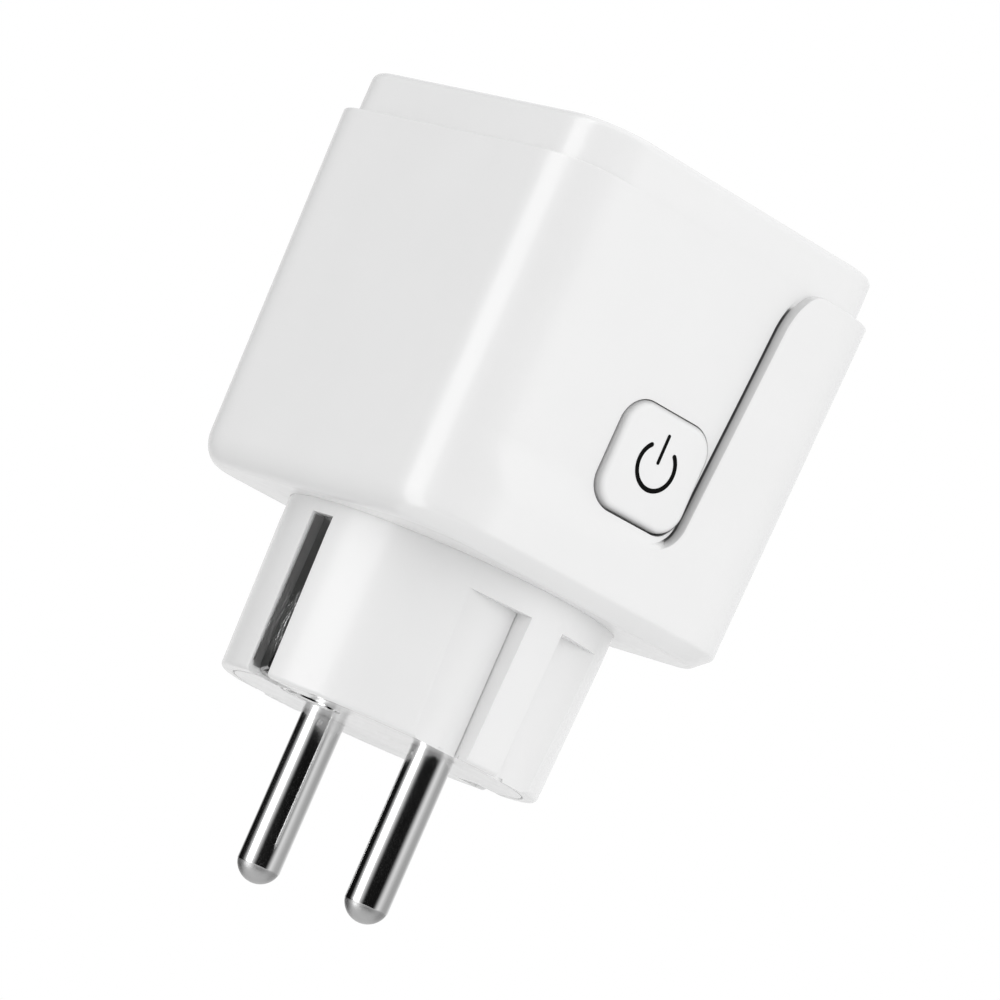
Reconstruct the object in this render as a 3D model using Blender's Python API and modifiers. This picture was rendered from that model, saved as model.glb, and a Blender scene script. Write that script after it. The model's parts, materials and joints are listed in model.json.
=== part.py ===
"""Smart plug: a square white adapter with earthed round-pin plug below and socket above.

Frame: metres, +Z up and away from the wall socket. The origin is the centre of the plug's
face, z = 0, which meets the floor of the wall socket. The two pins point down and lie at
Y = -9.5 and +9.5 mm. The power button is on the front, -Y, and the earth strips are at -X
and +X.
"""

import math

import bmesh
import bpy
from mathutils import Matrix, Vector

MM = 0.001
GAP = 0.3 * MM
OVERSHOOT = 1 * MM

# Plug: the standard earthed plug with two round pins.
PIN_OFFSET = 9.5 * MM
PIN_RADIUS = 2.4 * MM
PIN_LENGTH = 19 * MM
PIN_DOME = 2.2 * MM
PIN_TAIL_RADIUS = 1.25 * MM
PLUG_FACE_RADIUS = 17.93 * MM
PLUG_TOP_RADIUS = 18.38 * MM
PLUG_EDGE = 0.6 * MM
PLUG_FLAT = 15.8 * MM
PLUG_RIB_HALF = 2.25 * MM
PLUG_SHOULDER = 16.2 * MM
PLUG_FLANGE_RADIUS = 19.7 * MM
PLUG_CORE_RADIUS = 13.6 * MM
PLUG_FLOOR = 3.4 * MM
EARTH_SLOT_HALF = 1.75 * MM
EARTH_SLOT_DEPTH = 16.5 * MM
EARTH_SLOT_TOP = 17.8 * MM
EARTH_FOOT = 14 * MM
EARTH_HOLE_X = -10 * MM
EARTH_HOLE_RADIUS = 3.4 * MM
SHEET = 0.5 * MM

# Case: a square shell that widens upwards, with a recessed field on its front.
CASE_LOW = 19.2 * MM
CASE_HIGH = 59.2 * MM
CASE_HALF_LOW = 22.86 * MM
CASE_HALF_HIGH = 23.56 * MM
CASE_CORNER = 8.3 * MM
CASE_CHAMFER = 1.8 * MM
CASE_FLOOR = 21.2 * MM
CASE_HOLE_RADIUS = 18.75 * MM
CAVITY_HALF = 20.9 * MM
CAVITY_FRONT = 20.1 * MM
CAVITY_CORNER = 6 * MM
FIELD_DEPTH = 1.45 * MM
FIELD_RIGHT = 7.9 * MM
FIELD_LOW = 27.4 * MM
FIELD_CORNER = 3.4 * MM

# Cap: the visible rim on top and the socket well inside it.
CAP_HIGH = 64.2 * MM
CAP_HALF = 22.11 * MM
CAP_CORNER = 6.8 * MM
CAP_EDGE = 0.8 * MM
SKIRT_LOW = 53 * MM
SKIRT_HALF = 20.75 * MM
WELL_RADIUS = 19.75 * MM
WELL_DEPTH = 17.5 * MM
WELL_FLOOR = CAP_HIGH - WELL_DEPTH
WELL_WALL = 1.05 * MM
WELL_UNDERSIDE = WELL_FLOOR - 2 * MM
GUIDE_FLAT = 16.15 * MM
GUIDE_SLOT_HALF = 2.7 * MM
GUIDE_TOP = 60.6 * MM
PIN_HOLE_RADIUS = 3.2 * MM
CLIP_HALF = 2 * MM
CLIP_WINDOW_HALF = CLIP_HALF + GAP
CLIP_WINDOW_HIGH = 61.2 * MM

# Power button, on the front.
BUTTON_X = 0.8 * MM
BUTTON_Z = 35 * MM
BUTTON_HALF_X = 6.6 * MM
BUTTON_HALF_Z = 6.1 * MM
BUTTON_CORNER = 3 * MM
BUTTON_FACE = -22.75 * MM
BUTTON_FLANGE = -19.8 * MM
BUTTON_BACK = -18.9 * MM
SWITCH_TIP = -18.25 * MM
SWITCH_FACE = -17.3 * MM
SWITCH_BACK = -14.1 * MM
SYMBOL_RADIUS = 2.4 * MM
SYMBOL_STROKE = 0.4 * MM

# Boards and what they carry.
BOARD_LOW = 24.2 * MM
BOARD_THICK = 1.6 * MM
BOARD_HALF = 19.7 * MM
BOARD_TOP = BOARD_LOW + BOARD_THICK + GAP
BOSS_PLACE = 17 * MM
BOSS_RADIUS = 2.2 * MM

# Shutter below the socket's floor.
SHUTTER_LOW = 42 * MM
SHUTTER_HIGH = 44.3 * MM
SHUTTER_HALF_LENGTH = 13 * MM
SHUTTER_HALF_WIDTH = 3.4 * MM
COVER_LOW = 39 * MM
COVER_HIGH = 40.2 * MM
COVER_SCREW_X = 7.5 * MM


def clear_scene():
    for thing in list(bpy.data.objects):
        bpy.data.objects.remove(thing)


def new_collection(name):
    collection = bpy.data.collections.new(name)
    bpy.context.scene.collection.children.link(collection)
    return collection


def new_material(name, colour, roughness, metallic=0.0):
    material = bpy.data.materials.new(name)
    material.use_nodes = True
    shader = material.node_tree.nodes["Principled BSDF"]
    shader.inputs["Base Color"].default_value = (*colour, 1)
    shader.inputs["Roughness"].default_value = roughness
    shader.inputs["Metallic"].default_value = metallic
    return material


clear_scene()
PARTS = new_collection("smart_plug")
CUTTERS = new_collection("cutters")

WHITE = new_material("white_plastic", (0.86, 0.86, 0.86), 0.28)
INNER_WHITE = new_material("inner_plastic", (0.72, 0.73, 0.72), 0.5)
BLACK = new_material("black_print", (0.015, 0.015, 0.015), 0.4)
DARK = new_material("dark_plastic", (0.03, 0.03, 0.035), 0.45)
NICKEL = new_material("nickel_plate", (0.72, 0.71, 0.69), 0.15, 1.0)
BRASS = new_material("brass", (0.78, 0.58, 0.24), 0.25, 1.0)
STEEL = new_material("steel", (0.55, 0.55, 0.56), 0.3, 1.0)
GREEN = new_material("circuit_board", (0.03, 0.2, 0.08), 0.45)
BLUE = new_material("blue_case", (0.03, 0.12, 0.45), 0.4)
YELLOW = new_material("film_case", (0.75, 0.55, 0.05), 0.45)
COPPER = new_material("copper_wire", (0.75, 0.33, 0.15), 0.3, 1.0)
GREY = new_material("ceramic_grey", (0.5, 0.52, 0.5), 0.6)
LED_CLEAR = new_material("led_lens", (0.85, 0.85, 0.7), 0.2)


def finish(thing, material, collection=PARTS):
    """Link an object that holds a mesh, give it its finish and shade it."""
    collection.objects.link(thing)
    if material is None:
        thing.hide_render = True
        thing.display_type = "WIRE"
        return thing
    thing.data.materials.clear()
    thing.data.materials.append(material)
    thing.data.shade_smooth()
    thing.data.set_sharp_from_angle(angle=math.radians(35))
    return thing


def from_bmesh(name, shape, material):
    mesh = bpy.data.meshes.new(name)
    bmesh.ops.recalc_face_normals(shape, faces=shape.faces)
    shape.to_mesh(mesh)
    shape.free()
    thing = bpy.data.objects.new(name, mesh)
    return finish(thing, material, CUTTERS if material is None else PARTS)


def box(name, low, high, material, edge=0.0):
    """A box between two corners, with its edges chamfered by edge."""
    shape = bmesh.new()
    bmesh.ops.create_cube(shape, size=1)
    for vertex in shape.verts:
        vertex.co = Vector(
            high[axis] if vertex.co[axis] > 0 else low[axis] for axis in range(3)
        )
    if edge:
        bmesh.ops.bevel(shape, geom=shape.edges[:], offset=edge, segments=1, affect="EDGES")
    return from_bmesh(name, shape, material)


def tapered_box(name, halves, levels, corner, material, chamfer=0.0, rim=0.0, front=None):
    """An upright square block with round corners. halves are its half widths at the two levels,
    and front, where given, is its reach towards -Y instead.
    """
    shape = bmesh.new()
    bmesh.ops.create_cube(shape, size=2)
    for vertex in shape.verts:
        top = vertex.co.z > 0
        half = halves[1] if top else halves[0]
        ahead = half if front is None else front
        vertex.co.x *= half
        vertex.co.y *= half if vertex.co.y > 0 else ahead
        vertex.co.z = levels[1] if top else levels[0]
    upright = [edge for edge in shape.edges if abs(edge.verts[0].co.z - edge.verts[1].co.z) > MM]
    bmesh.ops.bevel(shape, geom=upright, offset=corner, segments=6, profile=0.5, affect="EDGES")
    for level, width in ((levels[0], chamfer), (levels[1], rim)):
        if width:
            ring = [
                edge
                for edge in shape.edges
                if all(abs(vertex.co.z - level) < 0.01 * MM for vertex in edge.verts)
            ]
            bmesh.ops.bevel(shape, geom=ring, offset=width, segments=1, affect="EDGES")
    return from_bmesh(name, shape, material)


def cylinder(name, radius, low, high, material, centre=(0, 0), sides=32, axis="Z"):
    """A round bar from low to high along an axis; centre is its place across that axis."""
    shape = bmesh.new()
    bmesh.ops.create_cone(
        shape, cap_ends=True, segments=sides, radius1=radius, radius2=radius, depth=high - low
    )
    middle = (low + high) / 2
    if axis == "Z":
        place = Matrix.Translation((centre[0], centre[1], middle))
    elif axis == "Y":
        turn = Matrix.Rotation(math.radians(-90), 4, "X")
        place = Matrix.Translation((centre[0], middle, centre[1])) @ turn
    else:
        turn = Matrix.Rotation(math.radians(90), 4, "Y")
        place = Matrix.Translation((middle, centre[0], centre[1])) @ turn
    bmesh.ops.transform(shape, matrix=place, verts=shape.verts)
    return from_bmesh(name, shape, material)


def welded(thing, material):
    """Turn a curve or an object with modifiers into a plain closed mesh object."""
    bpy.context.view_layer.update()
    graph = bpy.context.evaluated_depsgraph_get()
    mesh = bpy.data.meshes.new_from_object(thing.evaluated_get(graph))
    name, place = thing.name, thing.matrix_world.copy()
    bpy.data.objects.remove(thing)
    shape = bmesh.new()
    shape.from_mesh(mesh)
    bpy.data.meshes.remove(mesh)
    bmesh.ops.transform(shape, matrix=place, verts=shape.verts)
    bmesh.ops.remove_doubles(shape, verts=shape.verts, dist=0.002 * MM)
    return from_bmesh(name, shape, material)


def outline(name, points, low, high, material, plane="XY"):
    """A flat outline, extruded from low to high across its plane."""
    curve = bpy.data.curves.new(name, "CURVE")
    curve.dimensions = "2D"
    curve.fill_mode = "BOTH"
    curve.extrude = (high - low) / 2
    spline = curve.splines.new("POLY")
    spline.points.add(len(points) - 1)
    for point, (across, up) in zip(spline.points, points):
        point.co = (across, up, 0, 1)
    spline.use_cyclic_u = True
    thing = bpy.data.objects.new(name, curve)
    bpy.context.scene.collection.objects.link(thing)
    middle = (low + high) / 2
    if plane == "XY":
        thing.location.z = middle
    elif plane == "XZ":
        thing.rotation_euler.x = math.radians(90)
        thing.location.y = middle
    else:
        thing.rotation_euler = (math.radians(90), 0, math.radians(90))
        thing.location.x = middle
    return welded(thing, material)


def turned(name, profile, material, centre=(0, 0), sides=24, axis="Z"):
    """A turned piece: profile is (radius, height) points down its outer side, top to bottom."""
    mesh = bpy.data.meshes.new(name)
    edges = [(index, index + 1) for index in range(len(profile) - 1)]
    if profile[0][0] > 0:
        edges.append((len(profile) - 1, 0))
    mesh.from_pydata([(radius, 0, height) for radius, height in profile], edges, [])
    thing = bpy.data.objects.new(name, mesh)
    bpy.context.scene.collection.objects.link(thing)
    screw = thing.modifiers.new("Turn", "SCREW")
    screw.steps = sides
    screw.render_steps = sides
    screw.use_merge_vertices = True
    screw.merge_threshold = 0.00001
    if axis == "Y":
        thing.rotation_euler.x = math.radians(90)
        thing.location = (centre[0], 0, centre[1])
    else:
        thing.location = (centre[0], centre[1], 0)
    return welded(thing, material)


def tube_along(name, points, radius, material, resolution=2):
    """A wire through the given points."""
    curve = bpy.data.curves.new(name, "CURVE")
    curve.dimensions = "3D"
    curve.bevel_depth = radius
    curve.bevel_resolution = resolution
    curve.use_fill_caps = True
    spline = curve.splines.new("POLY")
    spline.points.add(len(points) - 1)
    for point, place in zip(spline.points, points):
        point.co = (*place, 1)
    thing = bpy.data.objects.new(name, curve)
    bpy.context.scene.collection.objects.link(thing)
    return welded(thing, material)


def combine(target, operation, *tools):
    for tool in tools:
        modifier = target.modifiers.new(f"{operation} {tool.name}", "BOOLEAN")
        modifier.operation = operation
        modifier.object = tool


def cut(target, *tools):
    combine(target, "DIFFERENCE", *tools)


def join(target, *tools):
    combine(target, "UNION", *tools)


def arc(centre, radius, start, end, count):
    """Points on an arc, with its angles in degrees."""
    angles = [math.radians(start + (end - start) * step / count) for step in range(count + 1)]
    return [
        (centre[0] + radius * math.cos(angle), centre[1] + radius * math.sin(angle))
        for angle in angles
    ]


def rounded_rectangle(centre, half_across, half_up, corner, count=5):
    points = []
    for side_across, side_up, start in ((1, 1, 0), (-1, 1, 90), (-1, -1, 180), (1, -1, 270)):
        middle = (
            centre[0] + side_across * (half_across - corner),
            centre[1] + side_up * (half_up - corner),
        )
        points += arc(middle, corner, start, start + 90, count)
    return points


def strip(centreline, thickness=SHEET):
    """The outline of bent sheet metal of one thickness along a line of (across, up) points."""
    sides = ([], [])
    for index, point in enumerate(centreline):
        before = Vector(centreline[max(index - 1, 0)])
        after = Vector(centreline[min(index + 1, len(centreline) - 1)])
        here = Vector(point)
        first = (here - before).normalized() if index else (after - here).normalized()
        last = (after - here).normalized() if index < len(centreline) - 1 else first
        run = (first + last).normalized()
        mitre = thickness / 2 / max(run.dot(first), 0.5)
        normal = Vector((-run.y, run.x)) * mitre
        sides[0].append(tuple(here + normal))
        sides[1].append(tuple(here - normal))
    return sides[0] + sides[1][::-1]


def mirrored(points, side):
    return [(side * across, up) for across, up in points]


def place_origin(thing, place):
    """Move an object's origin without moving its shape."""
    thing.data.transform(Matrix.Translation(-Vector(place)))
    thing.location = place


def sided(side, near, far):
    """The low and high ends of a stretch from near to far on one side of the middle."""
    return (near, far) if side > 0 else (-far, -near)


def make_case_shell():
    shell = tapered_box(
        "case_shell", (CASE_HALF_LOW, CASE_HALF_HIGH), (CASE_LOW, CASE_HIGH), CASE_CORNER, WHITE,
        chamfer=CASE_CHAMFER,
    )
    room = tapered_box(
        "room_cutter", (CAVITY_HALF, CAVITY_HALF), (CASE_FLOOR, WELL_UNDERSIDE), CAVITY_CORNER, None,
        front=CAVITY_FRONT,
    )
    half = SKIRT_HALF + GAP
    seat = tapered_box(
        "seat_cutter", (half, half), (WELL_UNDERSIDE - GAP, CASE_HIGH + OVERSHOOT), CAVITY_CORNER, None
    )
    hole = cylinder(
        "plug_hole_cutter", CASE_HOLE_RADIUS, CASE_LOW - OVERSHOOT, CASE_FLOOR + OVERSHOOT, None,
        sides=48,
    )
    far = 2 * CASE_HALF_HIGH
    field = [(-far, FIELD_LOW)]
    field += arc((FIELD_RIGHT - FIELD_CORNER, FIELD_LOW + FIELD_CORNER), FIELD_CORNER, -90, 0, 5)
    pad = (FIELD_RIGHT + FIELD_CORNER, CASE_HIGH - FIELD_CORNER)
    field += arc(pad, FIELD_CORNER, 180, 90, 5)
    field += [(pad[0], CASE_HIGH + OVERSHOOT), (-far, CASE_HIGH + OVERSHOOT)]
    field_cutter = outline("field_cutter", field, -far, -(CASE_HALF_HIGH - FIELD_DEPTH), None, "XZ")
    opening = rounded_rectangle(
        (BUTTON_X, BUTTON_Z), BUTTON_HALF_X + GAP, BUTTON_HALF_Z + GAP, BUTTON_CORNER + GAP
    )
    button_hole = outline("button_hole_cutter", opening, -far, -CAVITY_FRONT + OVERSHOOT, None, "XZ")
    cut(shell, room, seat, hole, field_cutter, button_hole)
    for index, (side_x, side_y) in enumerate(((1, -1), (-1, 1), (1, 1), (-1, -1)), 1):
        centre = (side_x * BOSS_PLACE, side_y * BOSS_PLACE)
        boss = cylinder(
            f"boss_tool_{index}", BOSS_RADIUS, CASE_FLOOR - OVERSHOOT, BOARD_LOW - GAP, None, centre, 16
        )
        join(shell, boss)
        if index <= 2:
            pilot = cylinder(
                f"pilot_cutter_{index}", 1.1 * MM, CASE_FLOOR, BOARD_LOW, None, centre, 16
            )
            cut(shell, pilot)


def make_plug_body():
    stem_top = CASE_FLOOR + GAP
    flange_top = stem_top + 1.5 * MM
    profile = [
        (0, flange_top),
        (PLUG_FLANGE_RADIUS, flange_top),
        (PLUG_FLANGE_RADIUS, stem_top),
        (PLUG_TOP_RADIUS, stem_top),
        (PLUG_TOP_RADIUS, PLUG_SHOULDER),
        (PLUG_FACE_RADIUS, PLUG_EDGE),
        (PLUG_FACE_RADIUS - PLUG_EDGE, 0),
        (0, 0),
    ]
    body = turned("plug_body", profile, WHITE, sides=72)
    far = PLUG_TOP_RADIUS + OVERSHOOT
    for side in (-1, 1):
        for half in (-1, 1):
            across = sided(half, PLUG_RIB_HALF, far)
            along = sided(side, PLUG_FLAT, far)
            notch = box(
                f"flat_cutter_{side}_{half}",
                (across[0], along[0], -OVERSHOOT), (across[1], along[1], PLUG_SHOULDER), None,
            )
            cut(body, notch)
        reach = sided(side, EARTH_SLOT_DEPTH, far)
        slot = box(
            f"slot_cutter_{side}",
            (reach[0], -EARTH_SLOT_HALF, -OVERSHOOT), (reach[1], EARTH_SLOT_HALF, EARTH_SLOT_TOP),
            None,
        )
        riser = side * (EARTH_SLOT_DEPTH + GAP + SHEET / 2)
        passage = box(
            f"passage_cutter_{side}",
            (riser - SHEET / 2 - GAP, -EARTH_SLOT_HALF, EARTH_SLOT_TOP - OVERSHOOT),
            (riser + SHEET / 2 + GAP, EARTH_SLOT_HALF, flange_top + OVERSHOOT),
            None,
        )
        reach = sided(side, EARTH_FOOT - 0.5 * MM, far)
        foot = box(
            f"foot_cutter_{side}",
            (reach[0], -EARTH_SLOT_HALF, -OVERSHOOT), (reach[1], EARTH_SLOT_HALF, SHEET + 2 * GAP),
            None,
        )
        pin_hole = cylinder(
            f"pin_hole_cutter_{side}", PIN_RADIUS + GAP, -OVERSHOOT, PLUG_FLOOR + OVERSHOOT, None,
            (0, side * PIN_OFFSET), 24,
        )
        cut(body, slot, passage, foot, pin_hole)
    core = cylinder(
        "core_cutter", PLUG_CORE_RADIUS, PLUG_FLOOR, flange_top + OVERSHOOT, None, sides=48
    )
    earth_hole = cylinder(
        "earth_hole_cutter", EARTH_HOLE_RADIUS, -OVERSHOOT, PLUG_FLOOR + OVERSHOOT, None,
        (EARTH_HOLE_X, 0), 24,
    )
    cut(body, core, earth_hole)


def make_pin_carrier():
    carrier = cylinder(
        "pin_carrier", PLUG_CORE_RADIUS - GAP, PLUG_FLOOR + GAP, 15 * MM, INNER_WHITE, sides=48
    )
    for side in (-1, 1):
        bore = cylinder(
            f"carrier_bore_cutter_{side}", PIN_RADIUS + GAP, 0, 20 * MM, None,
            (0, side * PIN_OFFSET), 24,
        )
        cut(carrier, bore)
    bore = cylinder(
        "carrier_earth_cutter", EARTH_HOLE_RADIUS, 0, 20 * MM, None, (EARTH_HOLE_X, 0), 24
    )
    cut(carrier, bore)


def make_pins():
    for name, side in (("front_pin", -1), ("back_pin", 1)):
        tip = -PIN_LENGTH
        round_tip = [
            (PIN_RADIUS * math.cos(turn), tip + PIN_DOME * (1 - math.sin(turn)))
            for turn in (math.radians(18 * step) for step in range(5))
        ]
        profile = [
            (0, BOARD_LOW + BOARD_THICK - GAP),
            (PIN_TAIL_RADIUS, BOARD_LOW + BOARD_THICK - GAP),
            (PIN_TAIL_RADIUS, 16 * MM),
            (PIN_RADIUS, 15.5 * MM),
            *round_tip,
            (0, tip),
        ]
        turned(name, profile, NICKEL, (0, side * PIN_OFFSET), 24)


def make_earth_parts():
    riser = EARTH_SLOT_DEPTH + GAP + SHEET / 2
    foot = GAP + SHEET / 2
    bend = 0.5 * MM
    path = [(EARTH_FOOT, foot), (riser - bend, foot), (riser, foot + bend), (riser, 27 * MM)]
    for name, side in (("earth_strip_left", -1), ("earth_strip_right", 1)):
        half = EARTH_SLOT_HALF - GAP
        outline(name, strip(mirrored(path, side)), -half, half, NICKEL, "XZ")
    tube = [
        (0, 16 * MM),
        (EARTH_HOLE_RADIUS - GAP, 16 * MM),
        (EARTH_HOLE_RADIUS - GAP, GAP),
        (EARTH_HOLE_RADIUS - GAP - SHEET, GAP),
        (EARTH_HOLE_RADIUS - GAP - SHEET, 15 * MM),
        (0, 15 * MM),
    ]
    turned("earth_pin_socket", tube, NICKEL, (EARTH_HOLE_X, 0), 24)
    leg = riser + SHEET + GAP
    bridge = [(-leg, 26.5 * MM), (-leg, 36.6 * MM), (leg, 36.6 * MM), (leg, 26.5 * MM)]
    outline("earth_bridge", strip(bridge, 0.8 * MM), -CLIP_HALF, CLIP_HALF, NICKEL, "XZ")
    clip = [
        (19.3 * MM, 37.8 * MM), (19.3 * MM, 46 * MM), (19.5 * MM, 49 * MM), (17.6 * MM, 53.5 * MM),
        (17.6 * MM, 55.5 * MM), (19.7 * MM, 59 * MM), (20 * MM, 60.5 * MM),
    ]
    for name, side in (("earth_clip_left", -1), ("earth_clip_right", 1)):
        outline(name, strip(mirrored(clip, side)), -CLIP_HALF, CLIP_HALF, NICKEL, "XZ")


def make_contacts():
    half = [
        (0, 26.5 * MM), (2.7 * MM, 26.5 * MM), (3 * MM, 27.2 * MM), (3 * MM, 31 * MM),
        (2.5 * MM, 35.3 * MM), (3.1 * MM, 38.3 * MM),
    ]
    path = mirrored(half[:0:-1], -1) + half
    for name, side in (("front_contact", -1), ("back_contact", 1)):
        middle = side * PIN_OFFSET
        outline(name, strip(path, 0.6 * MM), middle - 2.5 * MM, middle + 2.5 * MM, BRASS, "XZ")


def make_socket_cap():
    rim_low = CASE_HIGH + GAP
    cap = tapered_box(
        "socket_cap", (CAP_HALF, CAP_HALF), (rim_low, CAP_HIGH), CAP_CORNER, WHITE, rim=CAP_EDGE
    )
    skirt = tapered_box(
        "skirt_tool", (SKIRT_HALF, SKIRT_HALF), (SKIRT_LOW, rim_low + OVERSHOOT), CAVITY_CORNER, None
    )
    cup_radius = WELL_RADIUS + WELL_WALL - 0.1 * MM
    cup = cylinder("cup_tool", cup_radius, WELL_UNDERSIDE, CAP_HIGH - OVERSHOOT, None, sides=72)
    join(cap, skirt, cup)
    pocket = tapered_box(
        "pocket_cutter", (SKIRT_HALF - MM, SKIRT_HALF - MM), (SKIRT_LOW - OVERSHOOT, CAP_HIGH - 2 * MM),
        CAVITY_CORNER - MM, None,
    )
    keep = cylinder("pocket_keeper", cup_radius + 0.01 * MM, 40 * MM, 70 * MM, None, sides=72)
    cut(pocket, keep)
    well = cylinder("well_cutter", WELL_RADIUS, WELL_FLOOR, CAP_HIGH + OVERSHOOT, None, sides=72)
    for side_x in (-1, 1):
        for side_y in (-1, 1):
            across = sided(side_x, GUIDE_SLOT_HALF, 15 * MM)
            along = sided(side_y, GUIDE_FLAT, 25 * MM)
            guide = box(
                f"guide_keeper_{side_x}_{side_y}",
                (across[0], along[0], WELL_FLOOR - OVERSHOOT), (across[1], along[1], GUIDE_TOP), None,
            )
            cut(well, guide)
    cut(cap, pocket, well)
    for side in (-1, 1):
        pin_hole = cylinder(
            f"socket_hole_cutter_{side}", PIN_HOLE_RADIUS, WELL_UNDERSIDE - OVERSHOOT,
            WELL_FLOOR + OVERSHOOT, None, (0, side * PIN_OFFSET), 24,
        )
        reach = sided(side, 18.7 * MM, 20.5 * MM)
        window = box(
            f"clip_window_cutter_{side}",
            (reach[0], -CLIP_WINDOW_HALF, WELL_UNDERSIDE - OVERSHOOT),
            (reach[1], CLIP_WINDOW_HALF, CLIP_WINDOW_HIGH),
            None,
        )
        cut(cap, pin_hole, window)
        boss = cylinder(
            f"cover_boss_tool_{side}", 1.7 * MM, COVER_HIGH + GAP, WELL_UNDERSIDE + OVERSHOOT, None,
            (side * COVER_SCREW_X, 0), 16,
        )
        join(cap, boss)
        pilot = cylinder(
            f"cover_pilot_cutter_{side}", MM, COVER_HIGH, WELL_UNDERSIDE, None,
            (side * COVER_SCREW_X, 0), 16,
        )
        cut(cap, pilot)
    pivot = cylinder("pivot_tool", 1.2 * MM, COVER_HIGH + GAP, WELL_UNDERSIDE + OVERSHOOT, None, sides=16)
    join(cap, pivot)


def screw(name, centre, seat, shank_radius, shank_length, direction):
    """A pan-head screw whose head rests on seat; direction is the way that its shank points."""
    head = 1.2 * MM
    shape = [
        (0, head),
        (1.1 * MM, head),
        (1.6 * MM, 0.7 * head),
        (1.7 * MM, 0),
        (shank_radius, 0),
        (shank_radius, -shank_length),
        (0, -shank_length),
    ]
    profile = [(radius, seat - direction * height) for radius, height in shape]
    turned(name, profile if direction < 0 else profile[::-1], STEEL, centre, 16)


def make_shutter():
    ends = arc((0, SHUTTER_HALF_LENGTH - SHUTTER_HALF_WIDTH), SHUTTER_HALF_WIDTH, 0, 180, 8)
    ends += arc((0, SHUTTER_HALF_WIDTH - SHUTTER_HALF_LENGTH), SHUTTER_HALF_WIDTH, 180, 360, 8)
    shutter = outline("shutter", ends, SHUTTER_LOW, SHUTTER_HIGH, INNER_WHITE)
    place_origin(shutter, (0, 0, SHUTTER_LOW))
    hub = cylinder("hub_cutter", 1.5 * MM, SHUTTER_LOW - MM, SHUTTER_HIGH + MM, None, sides=16)
    cut(shutter, hub)
    turns, per_turn = 2, 14
    points = []
    for step in range(turns * per_turn + 1):
        turn = 2 * math.pi * step / per_turn
        height = COVER_HIGH + 0.5 * MM + 0.5 * MM * step / per_turn
        points.append((2.1 * MM * math.cos(turn), 2.1 * MM * math.sin(turn), height))
    tube_along("shutter_spring", points, 0.15 * MM, STEEL, 1)
    plate = rounded_rectangle((0, 0), 10 * MM, 14.5 * MM, 3 * MM, 4)
    cover = outline("shutter_cover", plate, COVER_LOW, COVER_HIGH, INNER_WHITE)
    for side in (-1, 1):
        hole = cylinder(
            f"cover_hole_cutter_{side}", PIN_HOLE_RADIUS, COVER_LOW - MM, COVER_HIGH + MM, None,
            (0, side * PIN_OFFSET), 24,
        )
        screw_hole = cylinder(
            f"cover_screw_cutter_{side}", MM, COVER_LOW - MM, COVER_HIGH + MM, None,
            (side * COVER_SCREW_X, 0), 16,
        )
        cut(cover, hole, screw_hole)
    for name, side in (("cover_screw_left", -1), ("cover_screw_right", 1)):
        screw(name, (side * COVER_SCREW_X, 0), COVER_LOW - GAP, 0.7 * MM, 4 * MM, 1)


def make_button():
    face = rounded_rectangle((BUTTON_X, BUTTON_Z), BUTTON_HALF_X, BUTTON_HALF_Z, BUTTON_CORNER)
    button = outline("power_button", face, BUTTON_FACE, BUTTON_FLANGE + 0.3 * MM, WHITE, "XZ")
    place_origin(button, (BUTTON_X, BUTTON_FACE, BUTTON_Z))
    wide = rounded_rectangle(
        (BUTTON_X, BUTTON_Z), BUTTON_HALF_X + MM, BUTTON_HALF_Z + MM, BUTTON_CORNER + MM
    )
    flange = outline("button_flange_tool", wide, BUTTON_FLANGE, BUTTON_BACK, None, "XZ")
    post = cylinder(
        "button_post_tool", 1.5 * MM, BUTTON_BACK - MM, SWITCH_TIP - GAP, None,
        (BUTTON_X, BUTTON_Z), 16, axis="Y",
    )
    join(button, flange, post)
    print_low, print_high = BUTTON_FACE - 0.2 * MM, BUTTON_FACE - 0.08 * MM
    ring_points = arc((BUTTON_X, BUTTON_Z), SYMBOL_RADIUS + SYMBOL_STROKE / 2, 130, 410, 28)
    ring_points += arc((BUTTON_X, BUTTON_Z), SYMBOL_RADIUS - SYMBOL_STROKE / 2, 410, 130, 28)
    ring = outline("power_symbol_ring", ring_points, print_low, print_high, BLACK, "XZ")
    middle = (BUTTON_X, BUTTON_Z + 2.1 * MM)
    bar_points = rounded_rectangle(middle, SYMBOL_STROKE / 2, 1.65 * MM, SYMBOL_STROKE / 2, 4)
    bar = outline("power_symbol_bar", bar_points, print_low, print_high, BLACK, "XZ")
    for piece in (ring, bar):
        place_origin(piece, (BUTTON_X, BUTTON_FACE, BUTTON_Z))


def make_switch():
    middle = Vector((BUTTON_X, 0, BUTTON_Z))
    half = 3 * MM
    body = box(
        "switch_body", (middle.x - half, SWITCH_FACE, middle.z - half),
        (middle.x + half, SWITCH_BACK, middle.z + half), DARK, 0.3 * MM,
    )
    recess = cylinder(
        "switch_recess_cutter", 2 * MM, SWITCH_FACE - MM, SWITCH_FACE + 1.6 * MM, None,
        (middle.x, middle.z), 20, axis="Y",
    )
    cut(body, recess)
    plunger = cylinder(
        "switch_plunger", 1.7 * MM, SWITCH_TIP, SWITCH_FACE + 0.8 * MM, INNER_WHITE,
        (middle.x, middle.z), 20, axis="Y",
    )
    place_origin(plunger, (middle.x, SWITCH_TIP, middle.z))


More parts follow.
